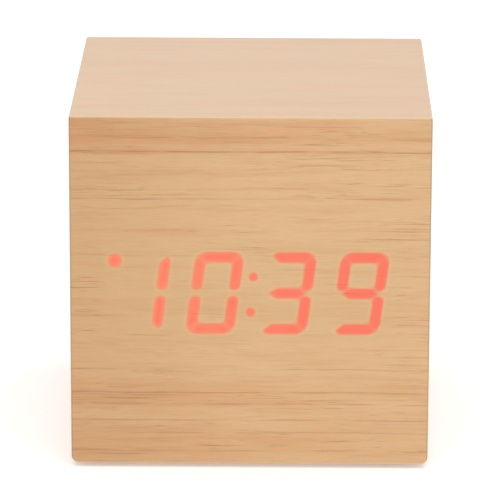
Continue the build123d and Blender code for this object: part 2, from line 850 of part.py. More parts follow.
def rear_board_fixings():
    x = rear_board_half - rear_fixing_inset_x
    z = rear_board_shoulder - rear_fixing_inset_z
    return [(-x, z), (x, z)]


def rear_board():
    """A board above the battery tray, narrower at the top where it passes between the corner blocks."""
    low = bay_top + bay_wall + front_board_margin
    wide, narrow = rear_board_half, cavity - block_width - front_board_margin
    board = block(-wide, wide, rear_board_front, rear_board_face, low, rear_board_shoulder)
    board += block(-narrow, narrow, rear_board_front, rear_board_face, rear_board_shoulder, front_board_half)
    for x, z in rear_board_fixings():
        board -= rod(screw_radius + clearance_hole_gap, x, z, rear_board_front - 1, rear_board_face + 1)
    return board


def rear_board_screws():
    """Screws driven towards +Y, into the cover's bosses."""
    screws = []
    for x, z in rear_board_fixings():
        screws.append(Pos(x, rear_board_front, z) * Rot(0, 0, 180) * pan_screw(0, 0, 0, rear_screw_length))
    return screws


def button_cap(x):
    face = cover_face + button_proud
    back = cover_inside - flange_gap - flange_thickness
    stem = rod(button_radius, x, button_z, back, face)
    stem = fillet(stem.edges().sort_by(Axis.Y)[-1], button_proud * 0.75)
    return stem + rod(flange_radius, x, button_z, back, back + flange_thickness)


def switch_plunger(x):
    """The white stem of a push switch, from inside its well to the back of its button."""
    back = cover_inside - flange_gap - flange_thickness
    return rod(plunger_radius, x, button_z, back - plunger_stroke_length - plunger_sunk, back)


def switch_bodies():
    """The fixed boxes of the three push switches, each with a well for its plunger."""
    top = rear_board_face + switch_depth
    side, bevel = switch_size / 2, 0.5
    well_radius = plunger_radius + plunger_clearance
    well_floor = top - plunger_sunk - button_travel - well_spare
    bodies = []
    for x in button_xs.values():
        body = block(x - side, x + side, rear_board_face, top, button_z - side, button_z + side)
        body = chamfer(body.edges().filter_by(Axis.Y), bevel)
        bodies.append(body - rod(well_radius, x, button_z, well_floor, top + 1))
    return bodies


def socket_shell():
    """The metal shell of a micro USB socket that stands on the board."""
    mouth = cover_face - socket_set_back
    corner_radius = 0.8
    place = (socket_x, button_z)
    shell = rounded(socket_width, socket_height, corner_radius, rear_board_face, mouth, *place)
    width, height = socket_width - 2 * socket_wall, socket_height - 2 * socket_wall
    floor = rear_board_face + socket_floor
    return shell - rounded(width, height, corner_radius - socket_wall, floor, mouth + 1, *place)


def socket_tongue():
    """The flat plastic tongue inside the shell, a little below its mouth."""
    half_width, half_height = tongue_size[0] / 2, tongue_size[1] / 2
    tip = cover_face - socket_set_back - 0.5
    return block(socket_x - half_width, socket_x + half_width, rear_board_face + socket_floor, tip,
                 button_z - half_height, button_z + half_height)


# ---------- writing ----------


def write(name, shape):
    """Writes one piece, or a list of solids that share a node, lifted onto its feet."""
    lift = Pos(0, 0, centre_height)
    solids = [s for item in (shape if isinstance(shape, list) else [shape]) for s in (lift * item).solids()]
    export_step(solids[0] if len(solids) == 1 else Compound(children=solids), f"parts/{name}.step")


def main():
    os.makedirs("parts", exist_ok=True)
    frustum = mitre_frustum()
    skin = veneer_shell()
    boards = board_shell()
    sleeve = boards - frustum
    lit = marks("lit", -half, -board_face)
    front_skin = skin & frustum
    for mark in lit:
        front_skin -= mark

    pieces = {
        "front_veneer": front_skin,
        "lit_marks": lit,
        "case_veneer": skin - frustum,
        "front_board": front_board(boards, frustum),
        "top_board": sleeve & side_wedge(0),
        "right_board": sleeve & side_wedge(90),
        "bottom_board": sleeve & side_wedge(180),
        "left_board": sleeve & side_wedge(270),
        "corner_blocks": corner_blocks(),
        "feet": feet(),
        "light_film": rounded(window_width - 2 * display_clearance, window_height - 2 * display_clearance,
                              window_radius - display_clearance, -board_face, film_back),
        "display_housing": display_housing(),
        "lit_light_guides": marks("lit", film_back, film_back + light_guide_depth),
        "dark_light_guides": marks("dark", film_back, film_back + light_guide_depth),
        "led_chips": led_chips(),
        "display_pins": [square_pin(x, z, housing_back, housing_back + pin_length) for x, z in pin_places()],
        "display_circuit_board": display_board(),
        "board_spacers": board_spacers(),
        "board_screws": board_screws(),
        "microcontroller": microcontroller(),
        "microcontroller_legs": microcontroller_legs(),
        "buzzer": buzzer(),
        "microphone": microphone(),
        "capacitors": capacitors(),
        "clock_crystal": clock_crystal(),
        "temperature_sensor": temperature_sensor(),
        "resistors": surface_mount_parts(resistor_rows, resistor_pitch, resistor_size),
        "transistors": surface_mount_parts(transistor_rows, transistor_pitch, transistor_size),
        "front_connector": wire_connector(connector_place, pcb_back, 1, ribbon_ways, ribbon_pitch),
        "rear_connector": wire_connector((connector_place[0], button_z), rear_board_front, -1,
                                         ribbon_ways, ribbon_pitch),
        "battery_connector": wire_connector(lead_plug_place, pcb_back, 1, 2, lead_pitch),
        "ribbon_cable": ribbon(),
        "battery_lead_red": battery_lead(1),
        "battery_lead_black": battery_lead(-1),
        "back_cover": back_cover(),
        "button_symbols": button_symbols(),
        "cover_screws": cover_screws(),
        "battery_door": battery_door(),
        "door_latch": door_latch(),
        "contact_plates": contact_plates(),
        "contact_springs": contact_springs(),
        "rear_circuit_board": rear_board(),
        "rear_board_screws": rear_board_screws(),
        "switch_bodies": switch_bodies(),
        "power_socket_shell": socket_shell(),
        "power_socket_tongue": socket_tongue(),
    }
    for name, x in button_xs.items():
        pieces[f"{name}_button"] = button_cap(x)
        pieces[f"{name}_plunger"] = switch_plunger(x)
    for n, (z, side) in enumerate(cell_places(), 1):
        pieces[f"battery_cell_{n}"] = battery_cell(z, side)
    for name, shape in pieces.items():
        write(name, shape)


main()
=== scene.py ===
"""A cube alarm clock: a veneered box whose red digits shine through the foil on its front.

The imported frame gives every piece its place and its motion. This file gives each piece its finish,
in the order in which the clock is put together, and then lights it as in a small studio.
"""

from math import cos, radians, sin, tan

import bpy
from mathutils import Matrix, Vector


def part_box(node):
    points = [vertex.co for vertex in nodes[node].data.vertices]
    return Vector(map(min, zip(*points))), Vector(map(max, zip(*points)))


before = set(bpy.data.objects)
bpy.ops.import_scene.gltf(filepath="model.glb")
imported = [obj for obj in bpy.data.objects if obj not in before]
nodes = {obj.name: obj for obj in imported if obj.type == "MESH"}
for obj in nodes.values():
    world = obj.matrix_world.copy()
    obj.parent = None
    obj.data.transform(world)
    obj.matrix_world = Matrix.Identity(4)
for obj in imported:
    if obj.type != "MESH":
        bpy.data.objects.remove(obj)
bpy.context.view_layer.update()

case_low, case_high = (Vector(corner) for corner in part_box("case_veneer"))
case_side = case_high.x - case_low.x
case_centre = (case_low + case_high) / 2
MM = 0.001

# ---------------------------------------------------------------------------------------------
# The case boards. Five pieces of medium-density fibreboard, mitred and glued into a box that is
# open at the back, where their raw sawn edges can be seen round the cover.
# ---------------------------------------------------------------------------------------------


def put(tree, value, socket):
    """Links a node's output to a socket, or sets the socket to a plain value."""
    if isinstance(value, bpy.types.NodeSocket):
        tree.links.new(value, socket)
    elif value is not None:
        socket.default_value = value


def math(tree, operation, *values, clamp=False):
    node = tree.nodes.new("ShaderNodeMath")
    node.operation = operation
    node.use_clamp = clamp
    for value, socket in zip(values, node.inputs):
        put(tree, value, socket)
    return node.outputs[0]


def ramp(tree, value, start, end, low=0.0, high=1.0):
    """Carries a value from start..end to low..high with soft ends."""
    node = tree.nodes.new("ShaderNodeMapRange")
    node.interpolation_type = "SMOOTHSTEP"
    for item, socket in zip((value, start, end, low, high), node.inputs):
        put(tree, item, socket)
    return node.outputs[0]


def mix(tree, factor, first, second, way="MIX"):
    """Mixes two colours."""
    node = tree.nodes.new("ShaderNodeMix")
    node.data_type = "RGBA"
    node.blend_type = way
    put(tree, factor, node.inputs["Factor"])
    put(tree, first, node.inputs[6])
    put(tree, second, node.inputs[7])
    return node.outputs[2]


def scaled(tree, vector, factors, offset=(0.0, 0.0, 0.0)):
    node = tree.nodes.new("ShaderNodeVectorMath")
    node.operation = "MULTIPLY_ADD"
    put(tree, vector, node.inputs[0])
    node.inputs[1].default_value = factors
    node.inputs[2].default_value = offset
    return node.outputs[0]


def noise(tree, vector, scale, detail=2.0, roughness=0.5, distortion=0.0):
    node = tree.nodes.new("ShaderNodeTexNoise")
    put(tree, vector, node.inputs["Vector"])
    for name, value in (("Scale", scale), ("Detail", detail), ("Roughness", roughness),
                        ("Distortion", distortion)):
        node.inputs[name].default_value = value
    return node.outputs["Fac"]


def place_in_mm(tree):
    """A point's place on the piece, in millimetres of the frame."""
    place = tree.nodes.new("ShaderNodeTexCoord").outputs["Object"]
    return scaled(tree, place, (1 / MM,) * 3)


def new_group(name, inputs, outputs):
    """An empty shader group. Inputs are (name, socket kind, default), outputs (name, socket kind)."""
    tree = bpy.data.node_groups.new(name, "ShaderNodeTree")
    for label, kind, default in inputs:
        socket = tree.interface.new_socket(label, in_out="INPUT", socket_type="NodeSocket" + kind)
        if default is not None:
            socket.default_value = default
    for label, kind in outputs:
        tree.interface.new_socket(label, in_out="OUTPUT", socket_type="NodeSocket" + kind)
    start = tree.nodes.new("NodeGroupInput")
    end = tree.nodes.new("NodeGroupOutput")
    return tree, start.outputs, end.inputs


def place_group(tree, group, **values):
    """Places a group in a tree; its sockets are named in words joined by underscores."""
    node = tree.nodes.new("ShaderNodeGroup")
    node.node_tree = group
    for name, value in values.items():
        put(tree, value, node.inputs[name.replace("_", " ").title()])
    return node.outputs


def new_material(name, roughness=0.5, metallic=0.0):
    material = bpy.data.materials.new(name)
    material.use_nodes = True
    tree = material.node_tree
    shader = tree.nodes["Principled BSDF"]
    shader.inputs["Roughness"].default_value = roughness
    shader.inputs["Metallic"].default_value = metallic
    return material, tree, shader


def bump(tree, shader, height, depth, strength=1.0):
    """Raises the surface by a height mask; depth is in metres."""
    node = tree.nodes.new("ShaderNodeBump")
    node.inputs["Strength"].default_value = strength
    node.inputs["Distance"].default_value = depth
    put(tree, height, node.inputs["Height"])
    put(tree, node.outputs["Normal"], shader.inputs["Normal"])


def finish_with(material, *names):
    """Gives a material to every slot of these nodes."""
    for name in names:
        for slot in nodes[name].material_slots:
            slot.material = material


def speckle_group():
    """Fine mottling: two sizes of grain, used for pressed fibre, moulded plastic, rubber and lacquer."""
    tree, source, result = new_group(
        "speckle",
        [("Place", "Vector", None), ("Size", "Float", 1.0), ("Contrast", "Float", 1.0)],
        [("Mask", "Float"), ("Fine", "Float")])
    per_size = math(tree, "DIVIDE", 1.0, source["Size"])
    node = tree.nodes.new("ShaderNodeVectorMath")
    node.operation = "SCALE"
    put(tree, source["Place"], node.inputs[0])
    put(tree, per_size, node.inputs["Scale"])
    coarse = noise(tree, node.outputs[0], 0.35, 3.0, 0.6)
    fine = noise(tree, node.outputs[0], 1.7, 2.0, 0.7)
    both = math(tree, "ADD", math(tree, "MULTIPLY", coarse, 0.55), math(tree, "MULTIPLY", fine, 0.45))
    centred = math(tree, "MULTIPLY", math(tree, "SUBTRACT", both, 0.5), source["Contrast"])
    put(tree, math(tree, "ADD", centred, 0.5, clamp=True), result["Mask"])
    put(tree, fine, result["Fine"])
    return tree


speckle = speckle_group()


def fibreboard_material():
    """Pressed wood fibre: brown, mottled, with short dark fibres lying in the plane of the board."""
    material, tree, shader = new_material("fibreboard", roughness=0.85)
    place = place_in_mm(tree)
    fleck = place_group(tree, speckle, place=place, size=0.30, contrast=2.6)
    strands = noise(tree, scaled(tree, place, (0.6, 1.0, 0.6)), 3.2, 3.0, 0.6, 1.2)
    colour = mix(tree, fleck["Mask"], (0.300, 0.178, 0.090, 1), (0.520, 0.350, 0.200, 1))
    dark = ramp(tree, strands, 0.56, 0.70, 0.0, 0.55)
    colour = mix(tree, dark, colour, (0.190, 0.105, 0.050, 1))
    put(tree, colour, shader.inputs["Base Color"])
    bump(tree, shader, fleck["Fine"], 0.05 * MM, 0.6)
    shader.inputs["Specular IOR Level"].default_value = 0.25
    return material


fibreboard = fibreboard_material()
finish_with(fibreboard, "front_board", "top_board", "right_board", "bottom_board", "left_board")

# ---------------------------------------------------------------------------------------------
# The corner blocks. Sawn softwood, glued into the four corners at the back so that the cover's
# screws have something to bite into.
# ---------------------------------------------------------------------------------------------


def softwood_material():
    material, tree, shader = new_material("glue_block_softwood", roughness=0.75)
    place = place_in_mm(tree)
    rings = noise(tree, scaled(tree, place, (1.4, 0.06, 1.4)), 1.0, 3.0, 0.55, 0.4)
    colour = mix(tree, ramp(tree, rings, 0.35, 0.65), (0.430, 0.275, 0.130, 1), (0.650, 0.470, 0.270, 1))
    put(tree, colour, shader.inputs["Base Color"])
    bump(tree, shader, rings, 0.05 * MM, 0.5)
    return material


finish_with(softwood_material(), "corner_blocks")

# ---------------------------------------------------------------------------------------------
# The veneer. A thin printed wood-grain foil, one piece round the four sides and one on the front.
# Its grain runs across the front and the top, and carries on down the sides where the foil turns.
# ---------------------------------------------------------------------------------------------

foil_pale = (0.690, 0.440, 0.225, 1)
foil_warm = (0.630, 0.340, 0.150, 1)
foil_blush = (0.740, 0.340, 0.170, 1)
foil_streak = (0.420, 0.200, 0.080, 1)


def grain_group():
    """Printed grain. Place is in mm, with X along the grain, Y across it and Z the foil's other way."""
    tree, source, result = new_group(
        "foil_grain",
        [("Place", "Vector", None), ("Figure", "Float", 0.0), ("Streaks", "Float", 1.0),
         ("Pale", "Color", foil_pale), ("Warm", "Color", foil_warm), ("Blush", "Color", foil_blush),
         ("Streak", "Color", foil_streak)],
        [("Color", "Color"), ("Pores", "Float")])
    place = source["Place"]
    # the grain wanders slowly across its own direction
    wander = noise(tree, scaled(tree, place, (0.030, 0.060, 0.030)), 1.0, 2.0, 0.5)
    shift = tree.nodes.new("ShaderNodeCombineXYZ")
    put(tree, math(tree, "MULTIPLY", wander, 0.9), shift.inputs["Y"])
    moved = tree.nodes.new("ShaderNodeVectorMath")
    put(tree, place, moved.inputs[0])
    put(tree, shift.outputs[0], moved.inputs[1])
    place = moved.outputs[0]
    # soft warm bands a few millimetres wide, then narrower ones inside them
    broad = noise(tree, scaled(tree, place, (0.014, 0.17, 0.014)), 1.0, 1.0, 0.5)
    narrow = noise(tree, scaled(tree, place, (0.055, 0.80, 0.055), (7.1, 3.3, 1.9)), 1.0, 3.0, 0.6)
    warmth = math(tree, "ADD", ramp(tree, broad, 0.45, 0.75, 0.0, 0.35), source["Figure"])
    warmth = math(tree, "ADD", warmth, ramp(tree, narrow, 0.38, 0.72, -0.15, 0.40), clamp=True)
    colour = mix(tree, warmth, source["Pale"], source["Warm"])
    # short blushes of pink where the figure is strong, and faint fibres everywhere
    blush = noise(tree, scaled(tree, place, (0.16, 1.30, 0.16), (1.3, 8.1, 6.6)), 1.0, 2.0, 0.6)
    blush = math(tree, "MULTIPLY", ramp(tree, blush, 0.50, 0.68, 0.0, 0.75),
                 math(tree, "ADD", source["Figure"], 0.10))
    colour = mix(tree, blush, colour, source["Blush"])
    fibres = noise(tree, scaled(tree, place, (0.35, 7.5, 0.35), (3.9, 0.4, 2.2)), 1.0, 2.0, 0.6)
    colour = mix(tree, ramp(tree, fibres, 0.35, 0.75, 0.0, 0.16), colour, source["Streak"])
    # thin dark streaks, longer and shorter, gathered in clusters and where the bands are warm
    clusters = noise(tree, scaled(tree, place, (0.060, 0.40, 0.060), (4.4, 6.2, 0.7)), 1.0, 2.0, 0.5)
    lines = noise(tree, scaled(tree, place, (0.060, 3.6, 0.060), (2.7, 9.4, 4.1)), 1.0, 1.0, 0.5)
    dashes = noise(tree, scaled(tree, place, (0.24, 4.6, 0.24), (5.2, 1.4, 8.8)), 1.0, 2.0, 0.6)
    gather = math(tree, "ADD", math(tree, "MULTIPLY", warmth, 0.45),
                  ramp(tree, clusters, 0.42, 0.66, 0.08, 0.80))
    strength = math(tree, "MULTIPLY", gather, source["Streaks"])
    streak = math(tree, "ADD", ramp(tree, lines, 0.60, 0.72, 0.0, 0.70),
                  ramp(tree, dashes, 0.57, 0.70, 0.0, 0.55))
    streak = math(tree, "MULTIPLY", streak, strength, clamp=True)
    colour = mix(tree, streak, colour, source["Streak"])
    put(tree, colour, result["Color"])
    put(tree, math(tree, "SUBTRACT", 1.0, streak), result["Pores"])
    return tree


foil_grain = grain_group()


def edge_highlight_group():
    """A painted highlight: the foil painted pale along the edges of the cube, in a band of uneven width.
    Place is in mm.
    """
    tree, source, result = new_group(
        "edge_highlight", [("Place", "Vector", None), ("Width", "Float", 0.4)], [("Mask", "Float")])
    split = tree.nodes.new("ShaderNodeSeparateXYZ")
    centred = scaled(tree, source["Place"], (1, 1, 1), tuple(-case_centre / MM))
    put(tree, centred, split.inputs[0])
    from_faces = [math(tree, "SUBTRACT", case_side / MM / 2,
                       math(tree, "ABSOLUTE", axis)) for axis in split.outputs]
    first, second, third = from_faces
    # the middle one of the three distances tells how far the nearest edge is
    nearest_two = math(tree, "MAXIMUM", math(tree, "MINIMUM", first, second),
                       math(tree, "MINIMUM", math(tree, "MAXIMUM", first, second), third))
    broken = noise(tree, source["Place"], 0.9, 3.0, 0.6)
    width = math(tree, "MULTIPLY", source["Width"], math(tree, "ADD", broken, 0.5))
    put(tree, ramp(tree, nearest_two, 0.0, width, 1.0, 0.0), result["Mask"])
    return tree


# painted highlight: the pale colour painted along the cube's edges
edge_highlight = edge_highlight_group()
edge_highlight_colour = (0.80, 0.60, 0.40, 1)


def case_foil_material():
    """The foil on the top, the sides and the bottom: a quieter print than the front, with paler, greyer
    colours that are a painted sheen for the light the top catches from above.
    """
    material, tree, shader = new_material("oak_foil_sleeve", roughness=0.42)
    place = place_in_mm(tree)
    # the paler, greyer colours here are painted sheen on the same foil as the front
    grain = place_group(tree, foil_grain, place=place, streaks=0.42, figure=0.12,
                        pale=(0.725, 0.510, 0.335, 1), warm=(0.700, 0.455, 0.285, 1),
                        blush=(0.780, 0.450, 0.290, 1), streak=(0.500, 0.290, 0.165, 1))
    # painted highlight: the sleeve's foil painted pale along the edges
    edge_highlight_mask = place_group(tree, edge_highlight, place=place, width=0.45)["Mask"]
    colour = mix(tree, math(tree, "MULTIPLY", edge_highlight_mask, 0.5), grain["Color"], edge_highlight_colour)
    put(tree, colour, shader.inputs["Base Color"])
    bump(tree, shader, grain["Pores"], 0.02 * MM, 0.5)
    return material


finish_with(case_foil_material(), "case_veneer")

# ---------------------------------------------------------------------------------------------
# The front foil and the marks that light up through it. The foil is thin enough over the window
# for the light guides behind it to show as red bars with soft edges, and nothing shows when dark.
# ---------------------------------------------------------------------------------------------

digits_middle = (0.2, -0.1)  # the display's own sizes, in mm, from the middle of the front
digit_pitch = 12.5
digit_width = 8.4
digit_height = 14.7
stroke = 1.9
slant_slope = tan(radians(7.4))
corner_gap = 0.3
corner_bevel = 1.45
middle_gap = 1.0
end_taper = 0.5
middle_bar_gap = 0.35
dots = ((0.55, 2.8, 0.8), (0.1, -3.5, 0.8), (-23.2, 5.6, 1.2))
digits = ("bc", "abcdef", "abcdg", "abcdfg")
window_half = (25.3, 9.0)
mark_blend = 1.5  # how far the light of neighbouring bars runs together


def rounded_cut(tree, *distances):
    """The overlap of several shapes given by their distances, with its corners a little rounded."""
    whole = distances[0]
    for distance in distances[1:]:
        whole = math(tree, "SMOOTH_MAX", whole, distance, 0.6)
    return whole


def bars_group():
    """Distances in mm to the lying bars, the uprights and the middle bar of an upright digit."""
    tree, source, result = new_group(
        "digit_bars", [("Across", "Float", 0.0), ("Up", "Float", 0.0)],
        [("Lying", "Float"), ("Standing", "Float"), ("Middle", "Float")])
    side = (digit_width - stroke) / 2
    level = (digit_height - stroke) / 2
    broad = stroke / 2
    blunt = broad * (1 - end_taper)
    # the four quarters of a digit are mirror images, so it is worked out once from two magnitudes
    across = math(tree, "ABSOLUTE", source["Across"])
    up = math(tree, "ABSOLUTE", source["Up"])
    from_side = math(tree, "SUBTRACT", across, side)
    from_level = math(tree, "SUBTRACT", up, level)
    slope = radians(45)
    bevel = math(tree, "MULTIPLY", math(tree, "SUBTRACT", math(tree, "ADD", from_side, from_level),
                                        stroke - corner_bevel), cos(slope))
    past_mitre = math(tree, "MULTIPLY", math(tree, "SUBTRACT", from_side, from_level), cos(slope))
    gap = corner_gap / 2 * cos(slope)
    lying = rounded_cut(tree, math(tree, "SUBTRACT", math(tree, "ABSOLUTE", from_level), broad), bevel,
                        math(tree, "ADD", past_mitre, gap))
    aside = math(tree, "ABSOLUTE", from_side)
    below_foot = math(tree, "SUBTRACT", middle_gap / 2, up)
    taper = math(tree, "MULTIPLY", math(tree, "ADD", math(tree, "SUBTRACT", aside, blunt), below_foot),
                 cos(slope))
    standing = rounded_cut(tree, math(tree, "SUBTRACT", aside, broad), bevel,
                           math(tree, "SUBTRACT", gap, past_mitre), below_foot, taper)
    point = math(tree, "MULTIPLY",
                 math(tree, "SUBTRACT", math(tree, "ADD", across, up), side - middle_bar_gap), cos(slope))
    middle = rounded_cut(tree, math(tree, "SUBTRACT", up, broad), point)
    put(tree, lying, result["Lying"])
    put(tree, standing, result["Standing"])
    put(tree, middle, result["Middle"])
    return tree


digit_bars = bars_group()


def marks_group():
    """Distance in mm to the nearest lit mark, and how far along the display the point is."""
    tree, source, result = new_group("lit_marks", [("Place", "Vector", None)],
                                     [("Distance", "Float"), ("Across", "Float")])
    split = tree.nodes.new("ShaderNodeSeparateXYZ")
    put(tree, scaled(tree, source["Place"], (1, 1, 1), tuple(-case_centre / MM)), split.inputs[0])
    leaning, up = split.outputs["X"], split.outputs["Z"]
    above = math(tree, "SUBTRACT", up, digits_middle[1])
    below = math(tree, "MULTIPLY", above, -1.0)
    upright = math(tree, "SUBTRACT", leaning, math(tree, "MULTIPLY", above, slant_slope))
    found = []
    for index, names in enumerate(digits):
        right = math(tree, "SUBTRACT", upright, (index - 1.5) * digit_pitch + digits_middle[0])
        left = math(tree, "MULTIPLY", right, -1.0)
        bars = place_group(tree, digit_bars, across=right, up=above)
        # a dark bar is pushed away in its own half or quarter of the digit
        lying = bars["Lying"]
        for name, towards in (("a", above), ("d", below)):
            if name not in names:
                lying = math(tree, "MAXIMUM", lying, towards)
        standing = bars["Standing"]
        for name, beside, towards in (("b", right, above), ("c", right, below), ("e", left, below),
                                      ("f", left, above)):
            if name not in names:
                standing = math(tree, "MAXIMUM", standing, math(tree, "MINIMUM", beside, towards))
        found += [lying, standing] + ([bars["Middle"]] if "g" in names else [])
    nearest = found[0]
    for distance in found[1:]:
        nearest = math(tree, "SMOOTH_MIN", nearest, distance, mark_blend)
    for x, z, radius in dots:
        flat = tree.nodes.new("ShaderNodeCombineXYZ")
        put(tree, math(tree, "SUBTRACT", leaning, x), flat.inputs["X"])
        put(tree, math(tree, "SUBTRACT", up, z), flat.inputs["Y"])
        length = tree.nodes.new("ShaderNodeVectorMath")
        length.operation = "LENGTH"
        put(tree, flat.outputs[0], length.inputs[0])
        nearest = math(tree, "MINIMUM", nearest, math(tree, "SUBTRACT", length.outputs["Value"], radius))
    put(tree, nearest, result["Distance"])
    put(tree, leaning, result["Across"])
    return tree


lit_marks = marks_group()


def front_foil_material():
    """The front: stronger grain than the sleeve, warmer bands near the top and foot, and the red light."""
    material, tree, shader = new_material("oak_foil_front", roughness=0.46)
    place = place_in_mm(tree)
    split = tree.nodes.new("ShaderNodeSeparateXYZ")
    put(tree, scaled(tree, place, (1, 1, 1), tuple(-case_centre / MM)), split.inputs[0])
    x, z = split.outputs["X"], split.outputs["Z"]
    turned = tree.nodes.new("ShaderNodeCombineXYZ")
    put(tree, x, turned.inputs["X"])
    put(tree, z, turned.inputs["Y"])
    # bands of stronger figure, as (height, half width, strength)
    figure = None
    for height, half_width, strength in ((28.0, 3.2, 0.75), (24.9, 0.5, 0.50), (-18.2, 2.6, 0.55),
                                         (-27.0, 3.0, 0.50)):
        away = math(tree, "ABSOLUTE", math(tree, "SUBTRACT", z, height))
        band = ramp(tree, away, 0.0, half_width * 1.6, strength, 0.0)
        figure = band if figure is None else math(tree, "ADD", figure, band)
    fade = ramp(tree, x, -10.0, 28.0, 1.0, 0.45)
    figure = math(tree, "MULTIPLY", figure, fade)
    # over the window the foil is backed by the film, so the print looks quieter
    inside_x = math(tree, "SUBTRACT", math(tree, "ABSOLUTE", x), window_half[0])
    inside_z = math(tree, "SUBTRACT", math(tree, "ABSOLUTE", z), window_half[1])
    window = ramp(tree, math(tree, "MAXIMUM", inside_x, inside_z), -0.6, 0.3, 1.0, 0.0)
    streaks = math(tree, "SUBTRACT", 0.95, math(tree, "MULTIPLY", window, 0.30))
    beside = ramp(tree, x, -1.0 - window_half[0], -window_half[0], 0.7, 0.0)
    streaks = math(tree, "ADD", streaks,
                   math(tree, "MULTIPLY", beside,
                        ramp(tree, math(tree, "ABSOLUTE", z), 12.0, 16.0, 1.0, 0.0)))
    grain = place_group(tree, foil_grain, place=turned.outputs[0], figure=figure, streaks=streaks)
    colour = grain["Color"]
    # a few long thin lines of the print that run nearly the whole way across
    sag = noise(tree, scaled(tree, turned.outputs[0], (0.030, 0.0, 0.0)), 1.0, 2.0, 0.5)
    level = math(tree, "ADD", z, math(tree, "MULTIPLY", sag, 1.6))
    breaks = noise(tree, scaled(tree, turned.outputs[0], (0.11, 0.9, 0.0)), 1.0, 2.0, 0.6)
    for height, strength in ((25.7, 0.75), (28.2, 0.40), (17.4, 0.35), (7.3, 0.35), (-13.1, 0.40),
                             (-17.3, 0.55),
                             (-19.4, 0.45), (-22.3, 0.50), (-24.6, 0.40), (-27.9, 0.45)):
        away = math(tree, "ABSOLUTE", math(tree, "SUBTRACT", level, height))
        line = math(tree, "MULTIPLY", ramp(tree, away, 0.03, 0.20, strength, 0.0),
                    ramp(tree, breaks, 0.36, 0.58))
        colour = mix(tree, line, colour, foil_streak)
    # painted shade: the front a little darker towards the left
    colour = mix(tree, ramp(tree, x, -31.0, 4.0, 0.85, 0.0), colour, (0.88, 0.82, 0.76, 1), "MULTIPLY")
    marks = place_group(tree, lit_marks, place=place)
    distance = marks["Distance"]
    # round the marks the film scatters a faint pale glow inside the window
    halo = math(tree, "MULTIPLY", ramp(tree, distance, 0.0, 5.0, 0.30, 0.0), window)
    colour = mix(tree, halo, colour, (0.620, 0.410, 0.190, 1))
    lit = ramp(tree, distance, -0.26, 0.20, 1.0, 0.0)
    core = ramp(tree, distance, -0.85, -0.20, 1.0, 0.0)
    colour = mix(tree, math(tree, "MULTIPLY", lit, 0.90), colour, (0.30, 0.055, 0.030, 1))
    # a painted highlight along the top and the foot, and a thin painted shade along the two sides
    from_side = math(tree, "SUBTRACT", case_side / MM / 2, math(tree, "ABSOLUTE", x))
    edge_highlight_mask = place_group(tree, edge_highlight, place=place, width=0.35)["Mask"]
    edge_highlight_mask = math(tree, "MULTIPLY", edge_highlight_mask, ramp(tree, from_side, 0.2, 1.0))
    colour = mix(tree, math(tree, "MULTIPLY", edge_highlight_mask, 0.45), colour, edge_highlight_colour)
    # painted shade: a thin dark line along the two side edges
    colour = mix(tree, ramp(tree, from_side, 0.10, 0.40, 0.55, 0.0), colour, (0.30, 0.22, 0.11, 1))
    put(tree, colour, shader.inputs["Base Color"])
    red = mix(tree, ramp(tree, marks["Across"], -22.0, 20.0), (0.60, 0.140, 0.068, 1),
              (0.60, 0.075, 0.048, 1))
    patchy = noise(tree, place, 0.35, 2.0, 0.5)
    depth = math(tree, "MULTIPLY", core, ramp(tree, patchy, 0.35, 0.65, 0.15, 0.75))
    red = mix(tree, depth, red, (0.62, 0.060, 0.042, 1))
    bleed = ramp(tree, distance, 0.0, 0.9, 0.10, 0.0)
    light = math(tree, "MAXIMUM", lit, math(tree, "MULTIPLY", bleed, window))
    through = math(tree, "MULTIPLY", light, ramp(tree, grain["Pores"], 0.2, 1.0, 0.68, 1.0))
    put(tree, mix(tree, through, (0, 0, 0, 1), red), shader.inputs["Emission Color"])
    shader.inputs["Emission Strength"].default_value = 1.0
    bump(tree, shader, grain["Pores"], 0.02 * MM, 0.5)
    return material


front_foil = front_foil_material()
finish_with(front_foil, "front_veneer", "lit_marks")

# ---------------------------------------------------------------------------------------------
# The feet. Four thin discs of soft black rubber, stuck under the corners.
# ---------------------------------------------------------------------------------------------


def rubber_material():
    material, tree, shader = new_material("black_rubber", roughness=0.8)
    fleck = place_group(tree, speckle, place=place_in_mm(tree), size=0.25, contrast=1.6)
    put(tree, mix(tree, fleck["Mask"], (0.010, 0.010, 0.010, 1), (0.030, 0.030, 0.031, 1)),
        shader.inputs["Base Color"])
    put(tree, ramp(tree, fleck["Mask"], 0.2, 0.8, 0.72, 0.92), shader.inputs["Roughness"])
    bump(tree, shader, fleck["Fine"], 0.03 * MM, 0.6)
    return material


finish_with(rubber_material(), "feet")

# ---------------------------------------------------------------------------------------------
# The display. A white moulding with one cavity for each bar and dot, filled with clear red resin;
# a small LED sits at the back of each cavity and a diffusing film covers the front.
# ---------------------------------------------------------------------------------------------


def moulded_plastic(name, dark, pale, roughness, grain_size=0.22, relief=0.5, sheen=0.12):
    """A moulded plastic with a fine spark-eroded skin and slightly uneven gloss."""
    material, tree, shader = new_material(name, roughness=roughness)
    place = place_in_mm(tree)
    skin = place_group(tree, speckle, place=place, size=grain_size, contrast=1.4)
    patches = noise(tree, place, 0.08, 2.0, 0.5)
    put(tree, mix(tree, skin["Mask"], dark, pale), shader.inputs["Base Color"])
    gloss = math(tree, "ADD", ramp(tree, patches, 0.3, 0.7, roughness - sheen / 2, roughness + sheen / 2),
                 math(tree, "MULTIPLY", math(tree, "SUBTRACT", skin["Fine"], 0.5), 0.12))
    put(tree, gloss, shader.inputs["Roughness"])
    bump(tree, shader, skin["Fine"], 0.02 * MM, relief)
    return material


white_plastic = moulded_plastic("white_moulding", (0.70, 0.70, 0.67, 1), (0.80, 0.80, 0.77, 1), 0.5)
finish_with(white_plastic, "display_housing", "board_spacers", "front_connector", "rear_connector",
            "battery_connector")
finish_with(moulded_plastic("smoked_film", (0.10, 0.09, 0.085, 1), (0.14, 0.13, 0.12, 1), 0.55), "light_film")


